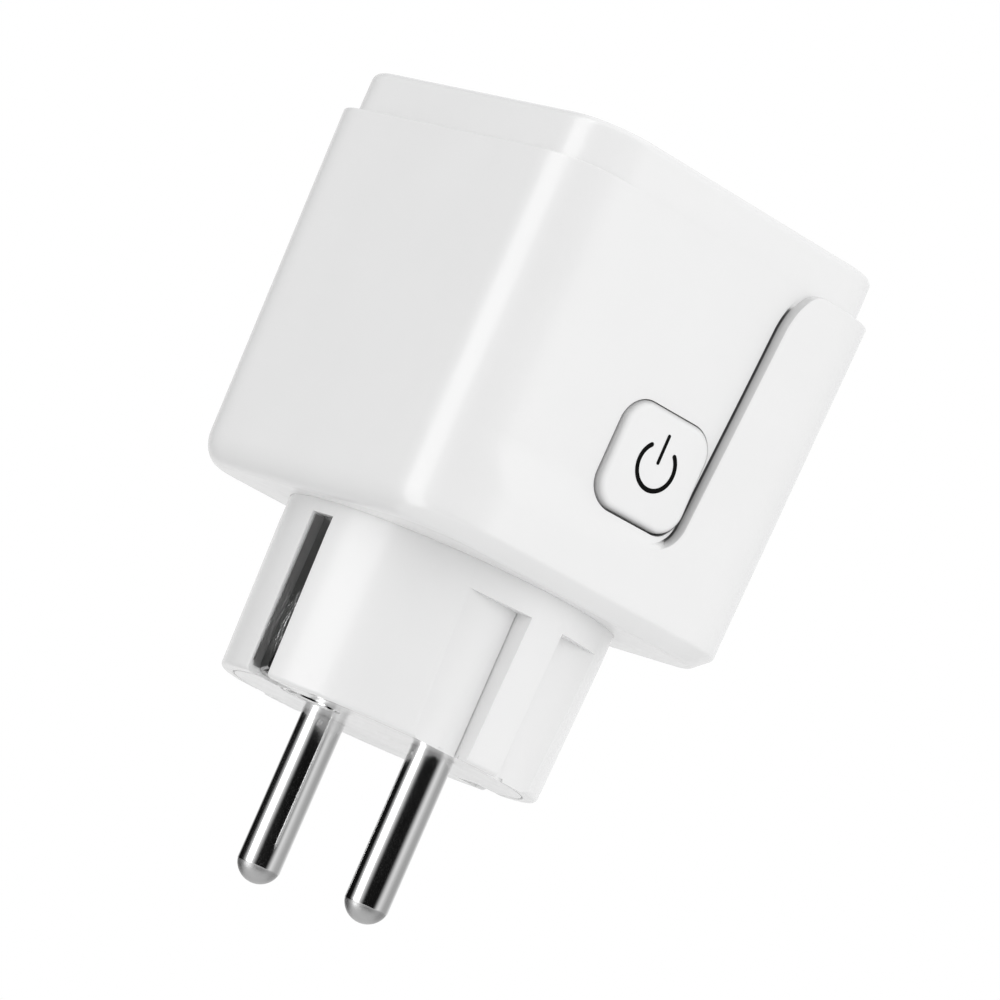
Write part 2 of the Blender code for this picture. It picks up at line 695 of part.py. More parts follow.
def make_boards():
    edge = rounded_rectangle((0, 0), BOARD_HALF, BOARD_HALF, CAVITY_CORNER, 4)
    board = outline("main_board", edge, BOARD_LOW, BOARD_LOW + BOARD_THICK, GREEN)
    for side in (-1, 1):
        hole = cylinder(
            f"tail_hole_cutter_{side}", PIN_TAIL_RADIUS + GAP, BOARD_LOW - OVERSHOOT,
            BOARD_TOP + OVERSHOOT, None, (0, side * PIN_OFFSET), 16,
        )
        reach = sided(side, 16.2 * MM, 21 * MM)
        notch = box(
            f"board_notch_cutter_{side}",
            (reach[0], -2.4 * MM, BOARD_LOW - OVERSHOOT), (reach[1], 2.4 * MM, BOARD_TOP + OVERSHOOT),
            None,
        )
        screw_hole = cylinder(
            f"board_screw_cutter_{side}", 1.2 * MM, BOARD_LOW - OVERSHOOT, BOARD_TOP + OVERSHOOT, None,
            (side * BOSS_PLACE, -side * BOSS_PLACE), 16,
        )
        cut(board, hole, notch, screw_hole)
        screw(
            "board_screw_right" if side > 0 else "board_screw_left",
            (side * BOSS_PLACE, -side * BOSS_PLACE), BOARD_TOP, 0.8 * MM, 4.2 * MM, -1,
        )
    back = SWITCH_BACK + GAP
    box("button_board", (-7.5 * MM, back, BOARD_TOP), (6.8 * MM, back + MM, COVER_LOW - 0.4 * MM), GREEN)
    box(
        "status_led", (-6 * MM, SWITCH_BACK - 1.2 * MM, 34.2 * MM), (-3.2 * MM, SWITCH_BACK, 35.8 * MM),
        LED_CLEAR, 0.2 * MM,
    )
    box("wireless_board", (-14 * MM, 19.2 * MM, BOARD_TOP), (4 * MM, 20 * MM, 43 * MM), BLUE)
    box(
        "shield_can", (-11 * MM, 17 * MM, 28 * MM), (1 * MM, 18.9 * MM, 37 * MM), STEEL, 0.3 * MM
    )


def can(name, radius, height, centre, material):
    """An upright electrolytic capacitor with its crimped neck."""
    top = BOARD_TOP + height
    profile = [
        (0, top),
        (radius - 0.4 * MM, top),
        (radius, top - 0.4 * MM),
        (radius, BOARD_TOP + 2.2 * MM),
        (radius - 0.4 * MM, BOARD_TOP + 1.7 * MM),
        (radius, BOARD_TOP + 1.2 * MM),
        (radius, BOARD_TOP),
        (0, BOARD_TOP),
    ]
    turned(name, profile, material, centre, 24)


def make_components():
    def block(name, low, high, material, edge=0.3 * MM):
        corner = (low[0] * MM, low[1] * MM, BOARD_TOP)
        box(name, corner, (high[0] * MM, high[1] * MM, BOARD_TOP + high[2] * MM), material, edge)

    block("relay", (5, 2.6), (15.2, 18.6, 12.6), BLUE, 0.5 * MM)
    block("film_capacitor", (-18, -15.5), (-9.5, -3.5, 10.5), YELLOW)
    block("metering_chip", (-9.2, -2.6), (-4.4, 2.2, 1.6), DARK, 0.2 * MM)
    block("converter_chip", (5.2, -3.4), (10, 0.6, 1.6), DARK, 0.2 * MM)
    block("bridge_rectifier", (-8.8, -9), (-4.8, -3.6, 2.6), DARK, 0.2 * MM)
    block("current_shunt", (-3, -3), (3, 0.4, 1.1), COPPER, 0.1 * MM)
    can("bulk_capacitor", 5 * MM, 12.4 * MM, (-11.8 * MM, 11.6 * MM), DARK)
    can("output_capacitor", 3.15 * MM, 10 * MM, (14.9 * MM, -7.5 * MM), DARK)
    spool = [
        (0, BOARD_TOP + 8 * MM),
        (3.4 * MM, BOARD_TOP + 8 * MM),
        (3.4 * MM, BOARD_TOP + 7 * MM),
        (3 * MM, BOARD_TOP + 6.6 * MM),
        (3 * MM, BOARD_TOP + 1.4 * MM),
        (3.4 * MM, BOARD_TOP + MM),
        (3.4 * MM, BOARD_TOP),
        (0, BOARD_TOP),
    ]
    turned("power_inductor", spool, COPPER, (7.4 * MM, -8.6 * MM), 20)
    cylinder(
        "varistor", 3.6 * MM, -17.2 * MM, -14.2 * MM, BLUE, (11.8 * MM, BOARD_TOP + 4.6 * MM), 20,
        axis="Y",
    )
    cylinder(
        "fuse_resistor", 1.4 * MM, -14.5 * MM, -5.5 * MM, GREY, (4.3 * MM, BOARD_TOP + 1.8 * MM), 12,
        axis="X",
    )


def hang_on_origin():
    """Parent every part to one empty at the centre of the plug's face."""
    origin = bpy.data.objects.new("plug_face_origin", None)
    PARTS.objects.link(origin)
    for thing in PARTS.objects:
        if thing is not origin:
            thing.parent = origin


make_case_shell()
make_plug_body()
make_pin_carrier()
make_pins()
make_earth_parts()
make_contacts()
make_socket_cap()
make_shutter()
make_button()
make_switch()
make_boards()
make_components()
hang_on_origin()
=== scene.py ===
"""Looks of the smart plug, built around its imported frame.

Everything is in the frame's own space: metres, +Z up, the origin at the centre of the plug's
face, the power button on the front (-Y), the visible earth strip on the left (-X).
"""

import json
import math

import bmesh
import bpy
from mathutils import Matrix, Vector


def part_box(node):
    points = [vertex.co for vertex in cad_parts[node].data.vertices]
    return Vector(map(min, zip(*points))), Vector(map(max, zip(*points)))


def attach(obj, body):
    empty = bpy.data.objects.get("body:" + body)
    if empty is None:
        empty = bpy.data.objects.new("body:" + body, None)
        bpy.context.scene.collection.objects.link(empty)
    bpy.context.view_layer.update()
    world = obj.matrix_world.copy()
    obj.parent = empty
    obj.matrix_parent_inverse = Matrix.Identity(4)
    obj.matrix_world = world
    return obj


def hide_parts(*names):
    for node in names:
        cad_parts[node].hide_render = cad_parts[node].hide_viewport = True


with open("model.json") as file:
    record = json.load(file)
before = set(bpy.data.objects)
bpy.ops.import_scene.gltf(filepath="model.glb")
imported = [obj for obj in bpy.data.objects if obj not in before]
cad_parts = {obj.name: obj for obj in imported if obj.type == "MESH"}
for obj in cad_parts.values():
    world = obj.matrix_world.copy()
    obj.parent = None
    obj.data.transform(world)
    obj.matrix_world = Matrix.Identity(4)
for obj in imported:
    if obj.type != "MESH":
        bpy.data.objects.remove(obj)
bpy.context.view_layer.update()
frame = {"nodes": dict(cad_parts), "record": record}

MM = 0.001
SHARP_ANGLE = 38

# The case, from its node's box: a square shell that widens upwards.
CASE_LOW, CASE_HIGH = (corner.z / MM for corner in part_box("case_shell"))
CASE_HALF_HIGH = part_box("case_shell")[1].x / MM
CASE_HALF_LOW = CASE_HALF_HIGH - 0.7
CASE_CORNER = 8.3
CASE_RIM = 0.07
FOOT_HEIGHT = 3.3
FILLET_INSET = 2.6
CAVITY_HALF = 20.9
CAVITY_FRONT = 20.1
CAVITY_CORNER = 6.0
CASE_FLOOR = CASE_LOW + 2
BOSS_PLACE = 17
BOSS_RADIUS = 2.2
BOSS_TOP = 23.9
BOSS_PILOT_RADIUS = 0.9

# The recessed field on the front, left of a low wall.
FIELD_DEPTH_LOW = 1.03
FIELD_DEPTH_HIGH = 1.15
FIELD_DEEPENS = (44.0, 59.2)
FIELD_WALL_X = 8.5
FIELD_WALL_LEAN = 0.06
FIELD_WALL_MIDDLE = 45.0
FIELD_TURN_HIGH = 53.8
FIELD_TURN_LOW = 31.2
FIELD_END_LOW = 27.7
FIELD_SWING_HIGH = 2.8
FIELD_SWING_LOW = 3.3
FIELD_FADE = (25.0, 31.0)
FIELD_FADE_AT_WALL = (27.6, 30.2)
SHADOW_GAP = 0.9

# The cap, from its node's box, and the socket well in it.
CAP_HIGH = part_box("socket_cap")[1].z / MM
CAP_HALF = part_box("socket_cap")[1].x / MM
CAP_CORNER = 6.8
CAP_RIM = 0.9
SEAM = 0.004
SKIRT_LOW = 53.0
SKIRT_HALF = 20.75
WELL_RADIUS = 19.75
WELL_LIP = 0.45
WELL_FLOOR = CAP_HIGH - 17.5
WELL_UNDERSIDE = WELL_FLOOR - 2
CUP_RADIUS = WELL_RADIUS + 0.95
GUIDE_FLAT = 16.15
GUIDE_SLOT_HALF = 2.7
GUIDE_TOP = 60.6
PIN_HOLE_RADIUS = 3.2
CLIP_WINDOW = (18.7, 20.5)
CLIP_WINDOW_HALF = 2.3
CLIP_WINDOW_TOP = 61.2
POST_LOW = 40.5
PIVOT_RADIUS = 1.2
COVER_BOSS_X = 7.5
COVER_BOSS_RADIUS = 1.7
COVER_PILOT_RADIUS = 0.8

# The plug.
PIN_OFFSET = 9.5
PIN_RADIUS = 2.4
PIN_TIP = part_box("front_pin")[0].z / MM
PIN_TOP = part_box("front_pin")[1].z / MM
PIN_TAIL_RADIUS = 1.25
PIN_SHOULDER = (15.5, 16)
# The pin's matt tip, whose colour also carries painted shade.
PIN_MATT_AND_PAINTED_SHADE_TIP = (-17.3, -17.1)
PIN_DOME = 2.35
PLUG_FACE_RADIUS = 17.93
PLUG_TOP_RADIUS = 18.38
PLUG_EDGE = 0.55
PLUG_FLAT = 15.8
FACE_GROOVE = 16.4
FACE_GROOVE_DEPTH = 0.3
PLUG_RIB_HALF = 2.25
PLUG_SHOULDER = 16.2
PLUG_CORE_RADIUS = 13.6
PLUG_FLOOR = 3.4
FLANGE_RADIUS = 19.7
EARTH_SLOT_HALF = 1.75
EARTH_SLOT_DEPTH = 15.95
EARTH_SLOT_TOP = 17.8
EARTH_FOOT = 14.0
EARTH_HOLE_X = -10.0
EARTH_HOLE_RADIUS = 3.4
SHEET = 0.5
STRIP_RUBBED_LOW = (1.5, 4)
STRIP_RUBBED_HIGH = (8, 11)
STRIP_FLANGE = ((0.75, 17.4), (1.3, 17.72), (17.6, 18.02))
CLIP_PATH = ((19.3, 37.8), (19.3, 46), (19.5, 49), (17.6, 53.5), (17.6, 55.5), (19.7, 59), (20, 60.5))
CLEARANCE = 0.3
HAIRLINE = 0.03

# The power button and its printed mark.
BUTTON_X = 1.05
BUTTON_Z = 35.2
BUTTON_HALF_X = 6.25
BUTTON_HALF_Z = 5.98
BUTTON_CORNER = 3.1
BUTTON_FACE = -22.75
BUTTON_ROUND = 0.85
BUTTON_FLANGE = -19.8
BUTTON_BACK = -18.9
BUTTON_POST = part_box("power_button")[1].y / MM
BUTTON_GAP = 0.16
BUTTON_GAP_SHIFT = (-0.07, -0.1)
MARK_CENTRE = (1.02, 35.32)
MARK_RADIUS = 2.5
MARK_STROKE = 0.5
MARK_GAP = 43
BAR_RISE = 1.95
BAR_HALF = 1.68

# How dark the shade painted into each place's colour gets, as a share of its plain colour.
WALL_SHADE = 0.76
GAP_SHADE = 0.22
GAP_SHADE_BOX = (("X", 5.6, 13), ("Y", -23, -20.3), ("Z", 28, 59))
BUTTON_SIDE_SHADE = 0.62
PIN_TIP_SHADE = 0.62

# Camera.
CAMERA_AZIMUTH = 38.704
CAMERA_ELEVATION = -5.947
CAMERA_ROLL = 23.72
CAMERA_DISTANCE = 0.70002
CAMERA_TARGET = Vector((0, 0, 0.022))
CAMERA_LENS = 241.28
CAMERA_SHIFT = (0.0378, 0.0426)

# Studio. The cards stand round the object, for its reflections: (bearing of the middle in
# degrees from the front towards the left, half width, soft edge, brightness).
CARDS = (
    (0, 180, 1, 0.86),
    (-72, 8, 48, 0.42),
    (27.5, 26, 34, 0.006),
    (158, 16, 34, 0.004),
    (99.5, 11, 9, 3.2),
)
CARD_RADIUS = 500
CARD_LOW, CARD_HIGH = -450, 750
FLOOR_LEVEL = -600
FLOOR_RADIUS = 8000
FLOOR_COLOUR = (0.77, 0.77, 0.77)
WORLD_LEVEL = 1.3
WORLD_SLOPE = Vector((0.13, -0.06, -0.4))


# ---- Small helpers ----


def mix(low, high, share):
    return low + (high - low) * share


def smooth(low, high, value):
    """0 below low, 1 above high and an easy curve between them."""
    share = min(max((value - low) / (high - low), 0), 1)
    return share * share * (3 - 2 * share)


def steps(low, high, count):
    return [mix(low, high, step / count) for step in range(count + 1)]


def arc(centre, radius, start, end, count):
    """Points on an arc, with its angles in degrees."""
    turns = [math.radians(angle) for angle in steps(start, end, count)]
    return [(centre[0] + radius * math.cos(turn), centre[1] + radius * math.sin(turn)) for turn in turns]


def circle(radius, height, sides, centre=(0, 0)):
    """Points on a level circle."""
    turns = [2 * math.pi * step / sides for step in range(sides)]
    return [
        (centre[0] + radius * math.cos(turn), centre[1] + radius * math.sin(turn), height)
        for turn in turns
    ]


def rounded_rectangle(centre, half_across, half_up, corner, count=8):
    points = []
    for side_across, side_up, start in ((1, 1, 0), (-1, 1, 90), (-1, -1, 180), (1, -1, 270)):
        middle = (
            centre[0] + side_across * (half_across - corner),
            centre[1] + side_up * (half_up - corner),
        )
        points += arc(middle, corner, start, start + 90, count)
    return points


def sided(side, near, far):
    """The low and high ends of a stretch from near to far on one side of the middle."""
    return (near, far) if side > 0 else (-far, -near)


# ---- Mesh makers. They take millimetres ----


def mesh_object(name, points, faces):
    mesh = bpy.data.meshes.new(name)
    mesh.from_pydata([Vector(point) * MM for point in points], [], faces)
    thing = bpy.data.objects.new(name, mesh)
    bpy.context.scene.collection.objects.link(thing)
    shape = bmesh.new()
    shape.from_mesh(mesh)
    bmesh.ops.recalc_face_normals(shape, faces=shape.faces)
    shape.to_mesh(mesh)
    shape.free()
    return thing


def loft(name, rings):
    """A closed solid through rings of equally many points, with flat ends."""
    count = len(rings[0])
    points = [point for ring in rings for point in ring]
    faces = []
    for row in range(len(rings) - 1):
        for index in range(count):
            after = (index + 1) % count
            low, high = row * count, (row + 1) * count
            faces.append((low + index, low + after, high + after, high + index))
    faces.append(tuple(range(count))[::-1])
    faces.append(tuple(range(len(points) - count, len(points))))
    return mesh_object(name, points, faces)


def turned(name, profile, centre=(0, 0), sides=96):
    """A solid of revolution about an upright line; profile is (radius, height) points whose
    first and last lie on that line.
    """
    return loft(name, [circle(radius, height, sides, centre) for radius, height in profile[1:-1]])


def cylinder(name, radius, low, high, centre=(0, 0), sides=96):
    return turned(name, [(0, low), (radius, low), (radius, high), (0, high)], centre, sides)


def block(name, low, high, edge=0.0):
    corners = ((low[0], low[1]), (high[0], low[1]), (high[0], high[1]), (low[0], high[1]))
    thing = loft(name, [[(x, y, z) for x, y in corners] for z in (low[2], high[2])])
    if edge:
        bevel(thing, edge, 2)
    return thing


def square_block(name, half, levels, corner, front=None):
    """An upright square block with round corners; front is its reach towards -Y, if it differs."""
    outline = []
    for x, y in rounded_rectangle((0, 0), half, half, corner):
        outline.append((x, y if y > 0 or front is None else y * front / half))
    return loft(name, [[(x, y, level) for x, y in outline] for level in levels])


def extruded(name, outline, low, high):
    """An outline of (x, z) points, extruded along Y."""
    return loft(name, [[(x, y, z) for x, z in outline] for y in (low, high)])


def applied(thing):
    """Make the evaluated shape of an object its mesh."""
    bpy.context.view_layer.update()
    graph = bpy.context.evaluated_depsgraph_get()
    mesh = bpy.data.meshes.new_from_object(thing.evaluated_get(graph))
    thing.modifiers.clear()
    old, thing.data = thing.data, mesh
    bpy.data.meshes.remove(old)
    return thing


def combine(target, operation, *tools):
    """Cut tools from target, or join them to it, and remove them."""
    for tool in tools:
        modifier = target.modifiers.new(operation, "BOOLEAN")
        modifier.operation = operation
        modifier.object = tool
    applied(target)
    for tool in tools:
        bpy.data.objects.remove(tool)
    return target


def bevel(thing, width, segments, angle=50):
    modifier = thing.modifiers.new("Soft edges", "BEVEL")
    modifier.width = width * MM
    modifier.segments = segments
    modifier.limit_method = "ANGLE"
    modifier.angle_limit = math.radians(angle)
    modifier.harden_normals = False
    return applied(thing)


def dressed(thing, material, body, slot, *nodes):
    """Shade a piece, give it its material, and put it in place of its CAD nodes."""
    thing.data.materials.clear()
    thing.data.materials.append(material)
    thing.data.shade_smooth()
    thing.data.set_sharp_from_angle(angle=math.radians(SHARP_ANGLE))
    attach(thing, body)
    if nodes:
        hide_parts(*nodes)
    return thing


# ---- Materials ----


def add(tree, kind, **settings):
    node = tree.nodes.new(kind)
    for name, value in settings.items():
        if name in node.inputs:
            node.inputs[name].default_value = value
        else:
            setattr(node, name, value)
    return node


def smooth_step(tree, value, low, high):
    """A node that rises smoothly from 0 at low to 1 at high."""
    spread = add(tree, "ShaderNodeMapRange", interpolation_type="SMOOTHSTEP")
    spread.inputs["From Min"].default_value = low
    spread.inputs["From Max"].default_value = high
    tree.links.new(value, spread.inputs["Value"])
    return spread.outputs["Result"]


def math_node(tree, operation, first, second=None):
    node = add(tree, "ShaderNodeMath", operation=operation)
    for socket, value in zip(node.inputs, (first, second)):
        if isinstance(value, (int, float)):
            socket.default_value = value
        elif value is not None:
            tree.links.new(value, socket)
    return node.outputs["Value"]


def new_material(name, colour, roughness, metallic=0.0):
    material = bpy.data.materials.new(name)
    material.use_nodes = True
    shader = material.node_tree.nodes["Principled BSDF"]
    shader.inputs["Base Color"].default_value = (*colour, 1)
    shader.inputs["Roughness"].default_value = roughness
    shader.inputs["Metallic"].default_value = metallic
    return material


def noise(tree, scale, detail=3.0, stretch=None):
    """A noise value over the object's own space; scale is waves per metre."""
    place = add(tree, "ShaderNodeTexCoord").outputs["Object"]
    if stretch:
        mapping = add(tree, "ShaderNodeMapping")
        mapping.inputs["Scale"].default_value = stretch
        tree.links.new(place, mapping.inputs["Vector"])
        place = mapping.outputs["Vector"]
    texture = add(tree, "ShaderNodeTexNoise", Scale=scale, Detail=detail)
    tree.links.new(place, texture.inputs["Vector"])
    return texture.outputs["Fac"]


def two_tone(tree, value, *stops):
    """Set the base colour from a value, by a ramp between two (value, colour) stops."""
    ramp = add(tree, "ShaderNodeValToRGB")
    for element, (place, colour) in zip(ramp.color_ramp.elements, stops):
        element.position = place
        element.color = (*colour, 1)
    tree.links.new(value, ramp.inputs["Fac"])
    tree.links.new(ramp.outputs["Color"], tree.nodes["Principled BSDF"].inputs["Base Color"])


def shade_variation(material, colour, change, scale, stretch=None):
    """Vary the base colour a little, from colour to colour times change."""
    tree = material.node_tree
    other = [value * change for value in colour]
    two_tone(tree, noise(tree, scale, stretch=stretch), (0.35, other), (0.65, colour))


def gloss_variation(material, low, high, scale, stretch=None):
    tree = material.node_tree
    spread = add(tree, "ShaderNodeMapRange")
    spread.inputs["From Min"].default_value = 0.35
    spread.inputs["From Max"].default_value = 0.65
    spread.inputs["To Min"].default_value = low
    spread.inputs["To Max"].default_value = high
    tree.links.new(noise(tree, scale, stretch=stretch), spread.inputs["Value"])
    tree.links.new(spread.outputs["Result"], tree.nodes["Principled BSDF"].inputs["Roughness"])


def surface_bump(material, height, scale, stretch=None, detail=3.0):
    """A fine relief; height is in millimetres."""
    tree = material.node_tree
    bump = add(tree, "ShaderNodeBump", Strength=1.0, Distance=height * MM)
    tree.links.new(noise(tree, scale, detail, stretch), bump.inputs["Height"])
    tree.links.new(bump.outputs["Normal"], tree.nodes["Principled BSDF"].inputs["Normal"])


def moulded(name, colour, roughness, grain=0.0005):
    """Moulded plastic: a smooth skin with a faint flow in its gloss and a very fine grain."""
    material = new_material(name, colour, roughness)
    shade_variation(material, colour, 0.99, 90)
    gloss_variation(material, roughness - 0.03, roughness + 0.04, 160)
    surface_bump(material, grain, 1800)
    return material


def plated(name, colour, roughness, scratches=0.0006):
    """Drawn and plated metal: fine lines along Z."""
    material = new_material(name, colour, roughness, 1.0)
    shade_variation(material, colour, 0.93, 500, (1, 1, 0.08))
    gloss_variation(material, roughness - 0.03, roughness + 0.05, 900, (1, 1, 0.05))
    surface_bump(material, scratches, 2200, (1, 1, 0.03))
    return material


def board_material():
    """Green solder mask, paler over the copper tracks."""
    colour = (0.02, 0.16, 0.06)
    material = new_material("solder_mask", colour, 0.32)
    tree = material.node_tree
    place = add(tree, "ShaderNodeTexCoord").outputs["Object"]
    tracks = add(tree, "ShaderNodeTexVoronoi", Scale=420.0)
    tracks.distance = "MANHATTAN"
    tracks.feature = "DISTANCE_TO_EDGE"
    tree.links.new(place, tracks.inputs["Vector"])
    two_tone(tree, tracks.outputs["Distance"], (0.06, (0.05, 0.3, 0.12)), (0.1, colour))
    surface_bump(material, 0.01, 900)
    return material


def paint_shade(material, share, darkest):
    """Paint shade into a material's colour: darken it by a share that a node gives, down to darkest."""
    tree = material.node_tree
    base = tree.nodes["Principled BSDF"].inputs["Base Color"]
    scale = add(tree, "ShaderNodeVectorMath", operation="SCALE")
    tree.links.new(base.links[0].from_socket, scale.inputs[0])
    factor = math_node(tree, "SUBTRACT", 1.0, math_node(tree, "MULTIPLY", share, 1 - darkest))
    tree.links.new(factor, scale.inputs["Scale"])
    tree.links.new(scale.outputs["Vector"], base)


def side_facing(tree, axis, low, high):
    """1 where a surface faces along -axis, 0 where it doesn't."""
    normal = add(tree, "ShaderNodeSeparateXYZ")
    tree.links.new(add(tree, "ShaderNodeNewGeometry").outputs["Normal"], normal.inputs["Vector"])
    return smooth_step(tree, math_node(tree, "MULTIPLY", normal.outputs[axis], -1), low, high)


def position(tree, axis):
    place = add(tree, "ShaderNodeSeparateXYZ")
    tree.links.new(add(tree, "ShaderNodeTexCoord").outputs["Object"], place.inputs["Vector"])
    return place.outputs[axis]


def case_material():
    """The white plastic, with painted shade on the field's wall and a painted shadow in the gap at its
    foot.
    """
    material = moulded("white_abs_case", PLASTIC, 0.2)
    tree = material.node_tree
    # Painted shade: -X-facing surfaces right of X = 2 mm, the field's wall among them, get a darker colour.
    on_wall = math_node(tree, "GREATER_THAN", position(tree, "X"), 2 * MM)
    wall = math_node(tree, "MULTIPLY", side_facing(tree, "X", 0.3, 0.9), on_wall)
    paint_shade(material, wall, WALL_SHADE)

    # How far a point lies behind the front, less the extra depth that the field gains upwards.
    height = position(tree, "Z")
    lean = (CASE_HALF_HIGH - CASE_HALF_LOW) / (CASE_HIGH - CASE_LOW)
    fall = math_node(tree, "MULTIPLY", height, lean)
    front = math_node(tree, "SUBTRACT", (lean * CASE_LOW - CASE_HALF_LOW) * MM, fall)
    deeper = smooth_step(tree, height, FIELD_DEEPENS[0] * MM, FIELD_DEEPENS[1] * MM)
    deeper = math_node(tree, "MULTIPLY", deeper, (FIELD_DEPTH_HIGH - FIELD_DEPTH_LOW) * MM)
    within = math_node(tree, "SUBTRACT", position(tree, "Y"), front)
    within = math_node(tree, "SUBTRACT", within, deeper)
    # Painted shadow: points deeper than the field, within the gap's box, get a dark colour.
    gap = smooth_step(tree, within, (FIELD_DEPTH_LOW + 0.05) * MM, (FIELD_DEPTH_LOW + 0.25) * MM)
    gap = math_node(tree, "MULTIPLY", gap, smooth_step(tree, height, 28.3 * MM, 30 * MM))
    for axis, low, high in GAP_SHADE_BOX:
        for operation, limit in (("GREATER_THAN", low), ("LESS_THAN", high)):
            inside = math_node(tree, operation, position(tree, axis), limit * MM)
            gap = math_node(tree, "MULTIPLY", gap, inside)
    paint_shade(material, gap, GAP_SHADE)
    return material


def button_material():
    """The white plastic, with painted shade where the button's side turns into its gap."""
    material = moulded("white_abs_button", PLASTIC, 0.2)
    tree = material.node_tree
    # Painted shade: surfaces that don't face -Y, the button's sides among them, get a darker colour.
    side = math_node(tree, "SUBTRACT", 1.0, side_facing(tree, "Y", 0.45, 0.985))
    paint_shade(material, side, BUTTON_SIDE_SHADE)
    return material


def pin_material():
    """Polished nickel with a few rubbed streaks, and a blasted, matt tip whose colour is darkened as
    painted shade.
    """
    material = plated("pin_nickel", (0.86, 0.86, 0.86), 0.11, 0.0022)
    tree = material.node_tree
    shader = tree.nodes["Principled BSDF"]
    # Painted shade: the tip's colour is darkened, and its gloss is roughened.
    tip = smooth_step(tree, position(tree, "Z"), PIN_MATT_AND_PAINTED_SHADE_TIP[1] * MM, PIN_MATT_AND_PAINTED_SHADE_TIP[0] * MM)
    paint_shade(material, tip, PIN_TIP_SHADE)
    polish = shader.inputs["Roughness"].links[0].from_socket
    rough = math_node(tree, "MAXIMUM", polish, math_node(tree, "MULTIPLY", tip, 0.42))
    tree.links.new(rough, shader.inputs["Roughness"])
    return material


def strip_material():
    """Nickel sheet, rubbed rough where a socket's earth spring slides on it."""
    material = plated("rubbed_nickel", (0.6, 0.6, 0.6), 0.12, 0.001)
    tree = material.node_tree
    height = position(tree, "Z")
    below = smooth_step(tree, height, STRIP_RUBBED_HIGH[1] * MM, STRIP_RUBBED_HIGH[0] * MM)
    above = smooth_step(tree, height, STRIP_RUBBED_LOW[0] * MM, STRIP_RUBBED_LOW[1] * MM)
    rubbed = math_node(tree, "MULTIPLY", below, above)
    relief = add(tree, "ShaderNodeBump", Strength=1.0, Distance=0.1 * MM)
    marks = math_node(tree, "MULTIPLY", noise(tree, 2800.0, 4.0, (1, 1, 0.4)), rubbed)
    tree.links.new(marks, relief.inputs["Height"])
    shader = tree.nodes["Principled BSDF"]
    tree.links.new(relief.outputs["Normal"], shader.inputs["Normal"])
    polish = shader.inputs["Roughness"].links[0].from_socket
    dull = math_node(tree, "MULTIPLY", side_facing(tree, "Y", 0.4, 0.9), 0.42)
    tree.links.new(math_node(tree, "MAXIMUM", polish, dull), shader.inputs["Roughness"])
    return material


PLASTIC = (0.875, 0.875, 0.875)
WHITE = moulded("white_abs", PLASTIC, 0.2)
CASE_WHITE = case_material()
BUTTON_WHITE = button_material()
PIN_NICKEL = pin_material()
INNER_WHITE = moulded("inner_nylon", (0.66, 0.67, 0.66), 0.45, 0.004)
NICKEL = plated("nickel_plate", (0.85, 0.85, 0.85), 0.1)
RUBBED_NICKEL = strip_material()
PRINT = new_material("black_ink", (0.002, 0.002, 0.002), 0.7)
PRINT.node_tree.nodes["Principled BSDF"].inputs["Specular IOR Level"].default_value = 0.15
surface_bump(PRINT, 0.002, 3500)
SLOT_MATERIALS = {
    "white_plastic": WHITE,
    "inner_plastic": INNER_WHITE,
    "black_print": PRINT,
    "nickel_plate": NICKEL,
    "brass": plated("spring_brass", (0.74, 0.55, 0.24), 0.24),
    "steel": plated("zinc_plate", (0.6, 0.6, 0.61), 0.3),
    "circuit_board": board_material(),
    "dark_plastic": moulded("black_package", (0.018, 0.018, 0.02), 0.4, 0.006),
    "blue_case": moulded("blue_case", (0.02, 0.09, 0.38), 0.32, 0.003),
    "film_case": moulded("film_case", (0.68, 0.45, 0.03), 0.35, 0.003),
    "copper_wire": plated("enamelled_copper", (0.72, 0.3, 0.12), 0.28, 0.01),
    "ceramic_grey": moulded("ceramic_coat", (0.42, 0.44, 0.42), 0.6, 0.01),
    "led_lens": moulded("led_lens", (0.82, 0.82, 0.66), 0.15, 0.001),
}


# ---- The case shell ----


def field_wall(height):
    """The X of the field's right-hand wall at a height."""
    wall = FIELD_WALL_X + FIELD_WALL_LEAN * (height - FIELD_WALL_MIDDLE)
    if height > FIELD_TURN_HIGH:
        reach = min((height - FIELD_TURN_HIGH) / (CASE_HIGH - FIELD_TURN_HIGH), 0.995)
        return wall + FIELD_SWING_HIGH * (1 - math.sqrt(1 - reach * reach))
    if height < FIELD_TURN_LOW:
        reach = min((FIELD_TURN_LOW - height) / (FIELD_TURN_LOW - FIELD_END_LOW), 0.985)
        return wall - FIELD_SWING_LOW * (1 - math.sqrt(1 - reach * reach))
    return wall


def field_depth(height, x=0.0):
    """The field's depth. It fades out at the lower end, and over a shorter height by the wall."""
    full = mix(FIELD_DEPTH_LOW, FIELD_DEPTH_HIGH, smooth(*FIELD_DEEPENS, height))
    share = mix(smooth(*FIELD_FADE, height), smooth(*FIELD_FADE_AT_WALL, height), smooth(-3, 6.2, x))
    return full * share


# Across the wall, from the field to its top edge: (way from the wall's X, share of the field's
# depth, share of the shadow gap's depth). The gap is a narrow groove along the wall's foot.
WALL_PROFILE = (
    (-0.5, 1.0, 0.0), (-0.47, 1.0, 0.1), (-0.45, 1.0, 1.0), (-0.05, 1.0, 1.0), (-0.01, 1.0, 0.1),
    (0.0, 0.93, 0.0), (0.01, 0.8, 0.0), (0.03, 0.18, 0.0), (0.05, 0.08, 0.0), (0.08, 0.02, 0.0),
    (0.12, 0.0, 0.0),
)


def shadow_gap(height):
    return SHADOW_GAP * smooth(28.0, 29.8, height) * smooth(1.6, 5.0, CASE_HIGH - height)


